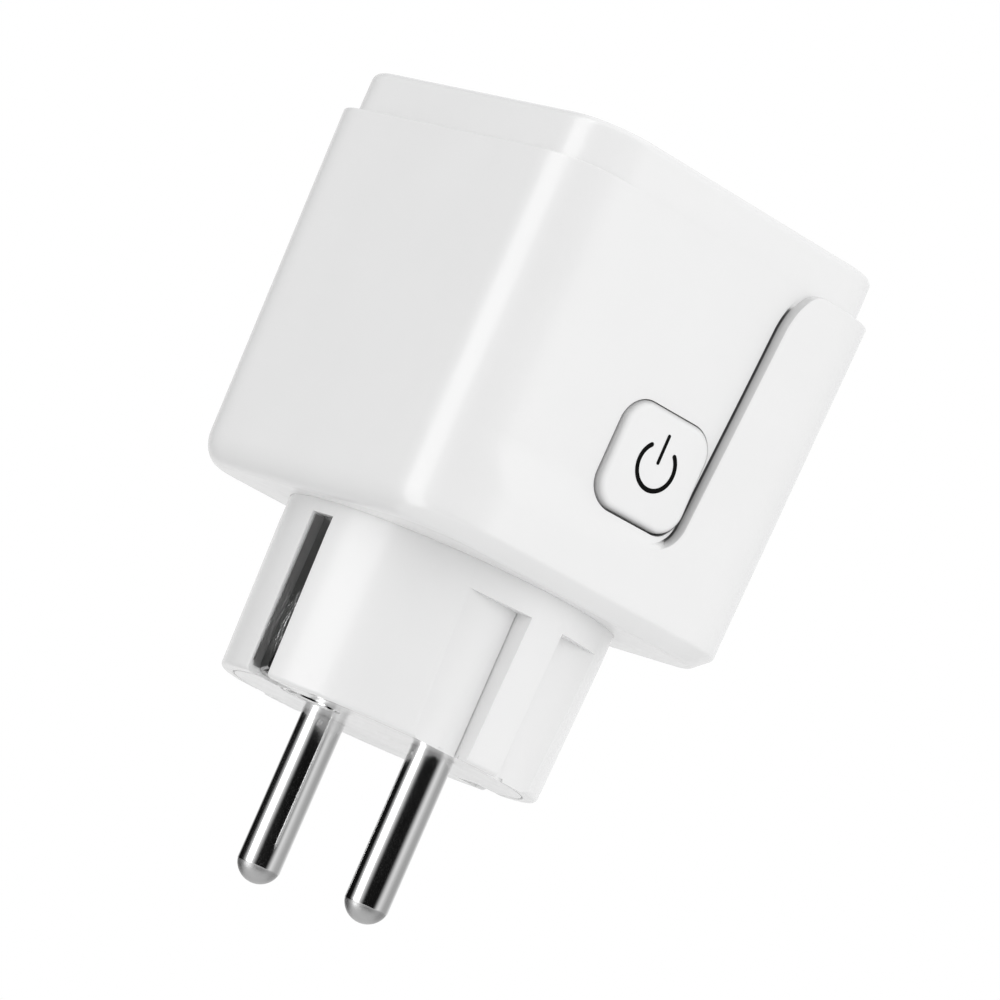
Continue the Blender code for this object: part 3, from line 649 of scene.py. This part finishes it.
def case_stations(height):
    """The case's outline at a height, as (x, y, normal x, normal y, field share, gap share,
    fillet share). The field and gap shares are the parts of those depths that apply there, and
    the fillet share tells the soft foot of the left and back from the crisp one of the front
    and right.
    """
    half = mix(CASE_HALF_LOW, CASE_HALF_HIGH, (height - CASE_LOW) / (CASE_HIGH - CASE_LOW))
    straight = half - CASE_CORNER
    wall = field_wall(height)
    softening = 3 - 2 * smooth(*FIELD_FADE_AT_WALL, height)
    stations = [(x, -half, 0, -1, 1, 0, 0) for x in steps(-straight, wall - 0.8 * softening, 20)]
    stations += [(wall + way * softening, -half, 0, -1, share, gap, 0) for way, share, gap in WALL_PROFILE]
    stations += [(x, -half, 0, -1, 0, 0, 0) for x in steps(wall + 0.7 * softening, straight, 8)]

    def corner(side_x, side_y, start, shares):
        found = []
        for angle, fillet in zip(steps(start, start + 90, 18)[1:-1], shares):
            normal = (math.cos(math.radians(angle)), math.sin(math.radians(angle)))
            found.append(
                (side_x * straight + CASE_CORNER * normal[0], side_y * straight + CASE_CORNER * normal[1],
                 *normal, int(side_x < 0 and side_y < 0), 0, fillet)
            )
        return found

    rising = [smooth(0, 1, (step + 1) / 18) for step in range(17)]
    stations += corner(1, -1, -90, [0] * 17)
    stations += [(half, y, 1, 0, 0, 0, 0) for y in steps(-straight, straight, 8)]
    stations += corner(1, 1, 0, rising)
    stations += [(x, half, 0, 1, 0, 0, 1) for x in steps(straight, -straight, 8)]
    stations += corner(-1, 1, 90, [1] * 17)
    stations += [(-half, y, -1, 0, 0, 0, 1) for y in steps(straight, -straight, 8)]
    stations += corner(-1, -1, 180, rising[::-1])
    return half, stations


# The foot's crisp edge, as (inset, height above the underside) with its two turns rounded.
CRISP_FOOT = (
    (0, FOOT_HEIGHT), (0, 2.05), (0.02, 1.9), (0.08, 1.74), (0.2, 1.58), (0.97, 0.88), (1.74, 0.18),
    (1.9, 0.08), (2.08, 0.02), (2.35, 0),
)


def case_ring(height, foot_row=None, rim_inset=0.0):
    """One ring of the outer skin. foot_row counts down the foot's profile."""
    half, stations = case_stations(height)
    ring = []
    for x, y, normal_x, normal_y, field, gap, fillet in stations:
        inset, level = rim_inset, height
        if foot_row is not None:
            turn = math.radians(90 * foot_row / (len(CRISP_FOOT) - 1))
            crisp = CRISP_FOOT[foot_row]
            inset = mix(crisp[0], FILLET_INSET * (1 - math.cos(turn)), fillet)
            level = CASE_LOW + mix(crisp[1], FOOT_HEIGHT * (1 - math.sin(turn)), fillet)
        x -= inset * normal_x
        y -= inset * normal_y
        depth = field_depth(height, x)
        if field and depth > 0.001:
            plane = -half + depth * field
            if normal_x:
                soft = 0.8 * depth
                inside = min(max((plane - y) / depth, 0), 1) * (math.hypot(depth, soft) - depth)
                y = (y + plane + math.hypot(y - plane, soft) - inside) / 2
            else:
                y = max(y, plane + gap * shadow_gap(height))
        ring.append((x, y, level))
    return ring


def make_case_shell():
    start = CASE_LOW + FOOT_HEIGHT
    foot = [case_ring(start, row) for row in range(len(CRISP_FOOT) - 1, -1, -1)]
    # Rings lie close together where the field's wall turns away.
    stretches = ((start, 27.2, 8), (27.2, 31.4, 42), (31.4, 52.5, 8), (52.5, CASE_HIGH - CASE_RIM, 30))
    heights = [height for low, high, count in stretches for height in steps(low, high, count)[1:]]
    skin = foot + [case_ring(height) for height in heights]
    for angle in steps(0, 90, 5)[1:]:
        turn = math.radians(angle)
        level = CASE_HIGH - CASE_RIM * (1 - math.sin(turn))
        skin.append(case_ring(level, rim_inset=CASE_RIM * (1 - math.cos(turn))))
    shell = loft("case_shell_skin", skin)
    room = square_block("room", CAVITY_HALF, (CASE_FLOOR, WELL_UNDERSIDE), CAVITY_CORNER, CAVITY_FRONT)
    seat = square_block("seat", SKIRT_HALF + 0.15, (WELL_UNDERSIDE - 0.3, CASE_HIGH + 1), CAVITY_CORNER)
    hole = cylinder("hole", PLUG_TOP_RADIUS + HAIRLINE, CASE_LOW - 1, CASE_FLOOR + 1, sides=128)
    middle = (BUTTON_X + BUTTON_GAP_SHIFT[0], BUTTON_Z + BUTTON_GAP_SHIFT[1])
    opening = rounded_rectangle(
        middle, BUTTON_HALF_X + BUTTON_GAP, BUTTON_HALF_Z + BUTTON_GAP, BUTTON_CORNER + BUTTON_GAP, 12
    )
    window = extruded("window", opening, -30, -CAVITY_FRONT + 1)
    combine(shell, "DIFFERENCE", room, seat, hole, window)
    bosses = []
    for side_x, side_y in ((1, -1), (-1, 1), (1, 1), (-1, -1)):
        centre = (side_x * BOSS_PLACE, side_y * BOSS_PLACE)
        bosses.append(cylinder("boss", BOSS_RADIUS, CASE_FLOOR - 1, BOSS_TOP, centre, 32))
    combine(shell, "UNION", *bosses)
    pilots = []
    for side in (-1, 1):
        centre = (side * BOSS_PLACE, -side * BOSS_PLACE)
        pilots.append(cylinder("pilot", BOSS_PILOT_RADIUS, CASE_FLOOR, BOSS_TOP + 1.1, centre, 24))
    combine(shell, "DIFFERENCE", *pilots)
    return dressed(shell, CASE_WHITE, "housing", "white_plastic", "case_shell")


# ---- The socket cap ----


def make_socket_cap():
    low = CASE_HIGH + SEAM

    def ring(level, inset):
        outline = rounded_rectangle((0, 0), CAP_HALF - inset, CAP_HALF - inset, CAP_CORNER - inset, 14)
        return [(x, y, level) for x, y in outline]

    rings = [ring(low, 0)]
    rings += [
        ring(CAP_HIGH - CAP_RIM * (1 - math.sin(turn)), CAP_RIM * (1 - math.cos(turn)))
        for turn in (math.radians(angle) for angle in steps(0, 90, 8))
    ]
    cap = loft("socket_cap_skin", rings)
    skirt = square_block("skirt", SKIRT_HALF, (SKIRT_LOW, low + 1), CAVITY_CORNER)
    cup = cylinder("cup", CUP_RADIUS, WELL_UNDERSIDE, CAP_HIGH - 1, sides=128)
    combine(cap, "UNION", skirt, cup)
    pocket = square_block("pocket", SKIRT_HALF - 1, (SKIRT_LOW - 1, CAP_HIGH - 2), CAVITY_CORNER - 1)
    keep = cylinder("keep", CUP_RADIUS + 0.01, 40, 70, sides=128)
    combine(pocket, "DIFFERENCE", keep)
    lip = arc((WELL_RADIUS + WELL_LIP, CAP_HIGH - WELL_LIP), WELL_LIP, 90, 180, 6)
    well = turned(
        "well",
        [(0, CAP_HIGH + 1), (WELL_RADIUS + WELL_LIP, CAP_HIGH + 1), *lip,
         (WELL_RADIUS, WELL_FLOOR + 0.3), (WELL_RADIUS - 0.3, WELL_FLOOR), (0, WELL_FLOOR)],
        sides=128,
    )
    guides = []
    for side_x in (-1, 1):
        for side_y in (-1, 1):
            across = sided(side_x, GUIDE_SLOT_HALF, 15)
            along = sided(side_y, GUIDE_FLAT, 25)
            low, high = (across[0], along[0], WELL_FLOOR - 1), (across[1], along[1], GUIDE_TOP)
            guides.append(block("guide", low, high, 0.35))
    combine(well, "DIFFERENCE", *guides)
    cutters = [pocket, well]
    for side in (-1, 1):
        mouth = PIN_HOLE_RADIUS + 0.35
        cutters.append(
            turned(
                "pin_hole",
                [(0, WELL_FLOOR + 1), (mouth, WELL_FLOOR + 1), (mouth, WELL_FLOOR + 0.02),
                 (PIN_HOLE_RADIUS, WELL_FLOOR - 0.35), (PIN_HOLE_RADIUS, WELL_UNDERSIDE - 1),
                 (0, WELL_UNDERSIDE - 1)],
                (0, side * PIN_OFFSET), 48,
            )
        )
        reach = sided(side, *CLIP_WINDOW)
        low = (reach[0], -CLIP_WINDOW_HALF, WELL_UNDERSIDE - 1)
        high = (reach[1], CLIP_WINDOW_HALF, CLIP_WINDOW_TOP)
        cutters.append(block("clip_window", low, high))
    combine(cap, "DIFFERENCE", *cutters)
    screws = [(side * COVER_BOSS_X, 0) for side in (-1, 1)]
    top = WELL_UNDERSIDE + 1
    posts = [cylinder("cover_boss", COVER_BOSS_RADIUS, POST_LOW, top, place, 24) for place in screws]
    posts.append(cylinder("pivot", PIVOT_RADIUS, POST_LOW, top, sides=24))
    combine(cap, "UNION", *posts)
    pilots = [
        cylinder("cover_pilot", COVER_PILOT_RADIUS, POST_LOW - 0.5, WELL_UNDERSIDE, place, 16)
        for place in screws
    ]
    combine(cap, "DIFFERENCE", *pilots)
    return dressed(cap, WHITE, "housing", "white_plastic", "socket_cap")


# ---- The plug ----


def make_plug_body():
    stem_top = CASE_FLOOR + CLEARANCE
    flange_top = stem_top + 1.5
    corner = (PLUG_FACE_RADIUS - PLUG_EDGE, PLUG_EDGE)
    profile = [
        (0, flange_top), (FLANGE_RADIUS, flange_top), (FLANGE_RADIUS, stem_top),
        (PLUG_TOP_RADIUS, stem_top), (PLUG_TOP_RADIUS, PLUG_SHOULDER),
        *arc(corner, PLUG_EDGE, 0, -90, 6),
        (FACE_GROOVE + 0.12, 0), (FACE_GROOVE + 0.1, FACE_GROOVE_DEPTH),
        (FACE_GROOVE - 0.1, FACE_GROOVE_DEPTH), (FACE_GROOVE - 0.12, 0), (0, 0),
    ]
    body = turned("plug_body_skin", profile, sides=144)
    far = PLUG_TOP_RADIUS + 2
    cutters = []
    for side in (-1, 1):
        for half in (-1, 1):
            across = sided(half, PLUG_RIB_HALF, far)
            along = sided(side, PLUG_FLAT, far)
            cutters.append(block("flat", (across[0], along[0], -1), (across[1], along[1], PLUG_SHOULDER)))
        room = 2 * CLEARANCE + SHEET
        for name, near, end, low, high in (
            ("slot", EARTH_SLOT_DEPTH, far, -1, EARTH_SLOT_TOP),
            ("passage", EARTH_SLOT_DEPTH, EARTH_SLOT_DEPTH + room, EARTH_SLOT_TOP - 1, flange_top + 1),
            ("foot", EARTH_FOOT - 0.5, far, -1, room),
        ):
            reach = sided(side, near, end)
            cutters.append(
                block(name, (reach[0], -EARTH_SLOT_HALF, low), (reach[1], EARTH_SLOT_HALF, high))
            )
    combine(body, "DIFFERENCE", *cutters)
    bevel(body, 0.22, 3, 45)
    through = PLUG_FLOOR + 1
    cutters = [
        cylinder("core", PLUG_CORE_RADIUS, PLUG_FLOOR, flange_top + 1),
        cylinder("earth_hole", EARTH_HOLE_RADIUS, -1, through, (EARTH_HOLE_X, 0), 48),
    ]
    for side in (-1, 1):
        centre = (0, side * PIN_OFFSET)
        cutters.append(cylinder("pin_hole", PIN_RADIUS + HAIRLINE, -1, through, centre, 48))
        for half in (-1, 1):
            across = sided(half, PLUG_RIB_HALF, PLUG_RIB_HALF + 0.16)
            along = sided(side, PLUG_FLAT - 0.45, PLUG_FLAT + 0.25)
            top = PLUG_SHOULDER - 0.05
            cutters.append(block("rib_foot", (across[0], along[0], -1), (across[1], along[1], top)))
    combine(body, "DIFFERENCE", *cutters)
    return dressed(body, WHITE, "housing", "white_plastic", "plug_body")


def make_pins():
    for name, side in (("front_pin", -1), ("back_pin", 1)):
        dome = [
            (PIN_RADIUS * math.cos(turn), PIN_TIP + PIN_DOME * (1 - math.sin(turn)))
            for turn in (math.radians(angle) for angle in steps(14, 88, 12))
        ]
        edge = PIN_TIP + PIN_DOME * (1 - math.sin(math.radians(14)))
        profile = [
            (0, PIN_TOP), (PIN_TAIL_RADIUS, PIN_TOP),
            (PIN_TAIL_RADIUS, PIN_SHOULDER[1]), (PIN_RADIUS, PIN_SHOULDER[0]),
            *[(PIN_RADIUS, height) for height in steps(PIN_SHOULDER[0] - 0.1, edge + 0.12, 6)],
            *dome, (0, PIN_TIP),
        ]
        pin = turned(f"{name}_turned", profile, (0, side * PIN_OFFSET), 64)
        dressed(pin, PIN_NICKEL, "housing", "nickel_plate", name)


def bent_strip(name, path, half_width, thickness, bend):
    """Sheet metal bent along a path of (x, z) points, with round bends and softened edges."""
    line = [Vector(path[0])]
    for before, here, after in zip(path, path[1:], path[2:]):
        here = Vector(here)
        back = Vector(before) - here
        ahead = Vector(after) - here
        reach = min(bend, 0.45 * back.length, 0.45 * ahead.length)
        start, end = here + back.normalized() * reach, here + ahead.normalized() * reach
        for share in steps(0, 1, 5):
            line.append(start.lerp(here, share).lerp(here.lerp(end, share), share))
    line.append(Vector(path[-1]))
    sides = ([], [])
    for index, point in enumerate(line):
        run = (line[min(index + 1, len(line) - 1)] - line[max(index - 1, 0)]).normalized()
        normal = Vector((-run.y, run.x)) * thickness / 2
        sides[0].append(tuple(point + normal))
        sides[1].append(tuple(point - normal))
    rings = []
    for first, second in zip(*sides):
        rings.append(
            [(first[0], -half_width, first[1]), (first[0], half_width, first[1]),
             (second[0], half_width, second[1]), (second[0], -half_width, second[1])]
        )
    strip = loft(name, rings)
    return bevel(strip, 0.08, 2, 60)


def mirrored(points, side):
    return [(side * across, up) for across, up in points]


def make_earth_parts():
    riser = EARTH_SLOT_DEPTH + CLEARANCE + SHEET / 2
    foot = CLEARANCE + SHEET / 2
    for name, side in (("left", -1), ("right", 1)):
        path = [(EARTH_FOOT, foot), (riser, foot), (riser, 27)]
        half = EARTH_SLOT_HALF - 0.08
        strip = bent_strip(f"earth_strip_{name}_bent", mirrored(path, side), half, SHEET, 1.1)
        for edge in (-1, 1):
            along = (edge * (half - 0.22), edge * (half - 0.01))
            rings = []
            for height, reach in STRIP_FLANGE:
                near, out = side * riser, side * reach
                corners = ((near, along[0]), (out, along[0]), (out, along[1]), (near, along[1]))
                rings.append([(x, y, height) for x, y in corners])
            combine(strip, "UNION", loft("flange", rings))
        dressed(strip, RUBBED_NICKEL, "housing", "nickel_plate", f"earth_strip_{name}")
        spring = bent_strip(f"earth_clip_{name}_bent", mirrored(CLIP_PATH, side), 2, SHEET, 1.6)
        dressed(spring, NICKEL, "housing", "nickel_plate", f"earth_clip_{name}")
    outer, inner = EARTH_HOLE_RADIUS - 0.1, EARTH_HOLE_RADIUS - CLEARANCE - SHEET
    lip = SHEET / 2
    rim = arc(((outer + inner) / 2, 0.12 + lip), (outer - inner) / 2, 0, -180, 8)
    sleeve = turned(
        "earth_pin_socket_sleeve", [(0, 16), (outer, 16), *rim, (inner, 15), (0, 15)], (EARTH_HOLE_X, 0), 64
    )
    dressed(sleeve, NICKEL, "housing", "nickel_plate", "earth_pin_socket")


# ---- The power button ----


def make_button():
    def ring(y, grow):
        outline = rounded_rectangle(
            (BUTTON_X, BUTTON_Z), BUTTON_HALF_X + grow, BUTTON_HALF_Z + grow, BUTTON_CORNER + grow, 12
        )
        return [(x, y, z) for x, z in outline]

    def post(y):
        outline = rounded_rectangle((BUTTON_X, BUTTON_Z), 1.5, 1.5, 1.49, 12)
        return [(x, y, z) for x, z in outline]

    rings = [post(BUTTON_POST), post(BUTTON_BACK)]
    rings += [ring(BUTTON_BACK, 1), ring(BUTTON_FLANGE, 1), ring(BUTTON_FLANGE, 0)]
    for angle in steps(0, 90, 7):
        turn = math.radians(angle)
        face = BUTTON_FACE + BUTTON_ROUND * (1 - math.sin(turn))
        rings.append(ring(face, -BUTTON_ROUND * (1 - math.cos(turn))))
    button = loft("power_button_cap", rings)
    dressed(button, BUTTON_WHITE, "button", "white_plastic", "power_button")


def make_power_mark():
    def on_ring(angle):
        return arc(MARK_CENTRE, MARK_RADIUS, angle, angle, 1)[0]

    def mark(name, outline, node):
        thing = extruded(name, outline, BUTTON_FACE - 0.03, BUTTON_FACE + 0.01)
        dressed(thing, PRINT, "button", "black_print", node)

    end = MARK_STROKE / 2
    first, last = 90 + MARK_GAP, 450 - MARK_GAP
    outline = arc(MARK_CENTRE, MARK_RADIUS + end, first, last, 56)
    outline += arc(on_ring(last), end, last, last + 180, 8)[1:-1]
    outline += arc(MARK_CENTRE, MARK_RADIUS - end, last, first, 56)
    outline += arc(on_ring(first), end, first + 180, first + 360, 8)[1:-1]
    mark("power_mark_ring", outline, "power_symbol_ring")
    middle = (MARK_CENTRE[0], MARK_CENTRE[1] + BAR_RISE)
    bar = rounded_rectangle(middle, 0.8 * end, BAR_HALF, 0.78 * end, 6)
    mark("power_mark_bar", bar, "power_symbol_bar")


# ---- What stays as its CAD node, with a better finish ----


def finish_cad_nodes():
    slots = {entry["node"]: entry["material_slot"] for entry in frame["record"]["subparts"]}
    for name, thing in frame["nodes"].items():
        if thing.hide_render:
            continue
        thing.data.materials.clear()
        thing.data.materials.append(SLOT_MATERIALS[slots[name]])
        thing.data.shade_smooth()
        thing.data.set_sharp_from_angle(angle=math.radians(SHARP_ANGLE))


# ---- Studio ----


def make_cards():
    """A round wall of cards, seen only in reflections."""
    count = 64
    points = circle(CARD_RADIUS, CARD_LOW, count) + circle(CARD_RADIUS, CARD_HIGH, count)
    faces = []
    for index in range(count):
        after = (index + 1) % count
        faces.append((index, after, after + count, index + count))
    wall = mesh_object("reflection_cards", points, faces)
    material = bpy.data.materials.new("reflection_cards")
    material.use_nodes = True
    tree = material.node_tree
    tree.nodes.clear()
    across = math_node(tree, "MULTIPLY", position(tree, "X"), -1)
    ahead = math_node(tree, "MULTIPLY", position(tree, "Y"), -1)
    bearing = math_node(tree, "MULTIPLY", math_node(tree, "ARCTAN2", across, ahead), 180 / math.pi)
    level = CARDS[0][3]
    for middle, half, soft, strength in CARDS[1:]:
        away = math_node(tree, "PINGPONG", math_node(tree, "SUBTRACT", bearing, middle), 180)
        share = smooth_step(tree, away, half + soft, half)
        if isinstance(level, float):
            change = math_node(tree, "MULTIPLY", share, strength - level)
        else:
            change = math_node(tree, "MULTIPLY", share, math_node(tree, "SUBTRACT", strength, level))
        level = math_node(tree, "ADD", change, level)
    glow = add(tree, "ShaderNodeEmission")
    tree.links.new(level, glow.inputs["Strength"])
    tree.links.new(glow.outputs["Emission"], add(tree, "ShaderNodeOutputMaterial").inputs["Surface"])
    wall.data.materials.append(material)
    wall.visible_camera = False
    wall.visible_diffuse = False
    wall.visible_shadow = False
    wall.visible_transmission = False


def make_floor():
    count = 96
    ring = circle(FLOOR_RADIUS, FLOOR_LEVEL, count)
    floor = mesh_object("studio_floor", ring, [tuple(range(count))])
    material = new_material("floor_paper", FLOOR_COLOUR, 0.9)
    shade_variation(material, FLOOR_COLOUR, 0.985, 6)
    floor.data.materials.append(material)


def make_world():
    """White light, strongest from the sides, and a white backdrop."""
    world = bpy.data.worlds.new("studio")
    bpy.context.scene.world = world
    world.use_nodes = True
    tree = world.node_tree
    tree.nodes.clear()
    slope = add(tree, "ShaderNodeVectorMath", operation="DOT_PRODUCT")
    slope.inputs[1].default_value = WORLD_SLOPE
    tree.links.new(add(tree, "ShaderNodeTexCoord").outputs["Generated"], slope.inputs[0])
    light = math_node(tree, "ADD", slope.outputs["Value"], WORLD_LEVEL)
    seen = add(tree, "ShaderNodeLightPath").outputs["Is Camera Ray"]
    change = math_node(tree, "MULTIPLY", seen, math_node(tree, "SUBTRACT", 1.0, light))
    strength = math_node(tree, "ADD", change, light)
    backdrop = add(tree, "ShaderNodeBackground")
    tree.links.new(strength, backdrop.inputs["Strength"])
    backdrop.inputs["Color"].default_value = (1, 1, 1, 1)
    tree.links.new(backdrop.outputs["Background"], add(tree, "ShaderNodeOutputWorld").inputs["Surface"])


def make_camera():
    azimuth, elevation, roll = (
        math.radians(angle) for angle in (CAMERA_AZIMUTH, CAMERA_ELEVATION, CAMERA_ROLL)
    )
    out = math.cos(elevation)
    away = Vector((-math.sin(azimuth) * out, -math.cos(azimuth) * out, math.sin(elevation)))
    level = (-away).cross(Vector((0, 0, 1))).normalized()
    upright = level.cross(-away)
    right = level * math.cos(roll) + upright * math.sin(roll)
    up = upright * math.cos(roll) - level * math.sin(roll)
    camera = bpy.data.objects.new("camera", bpy.data.cameras.new("camera"))
    bpy.context.scene.collection.objects.link(camera)
    camera.matrix_world = Matrix.Translation(CAMERA_TARGET + away * CAMERA_DISTANCE) @ Matrix(
        (right, up, away)
    ).transposed().to_4x4()
    camera.data.lens = CAMERA_LENS
    camera.data.shift_x, camera.data.shift_y = CAMERA_SHIFT
    camera.data.clip_start = 0.01
    camera.data.clip_end = 50
    bpy.context.scene.camera = camera


make_camera()
make_case_shell()
make_socket_cap()
make_plug_body()
make_pins()
make_earth_parts()
make_button()
make_power_mark()
finish_cad_nodes()
make_cards()
make_floor()
make_world()
bpy.context.scene.view_settings.view_transform = "Standard"
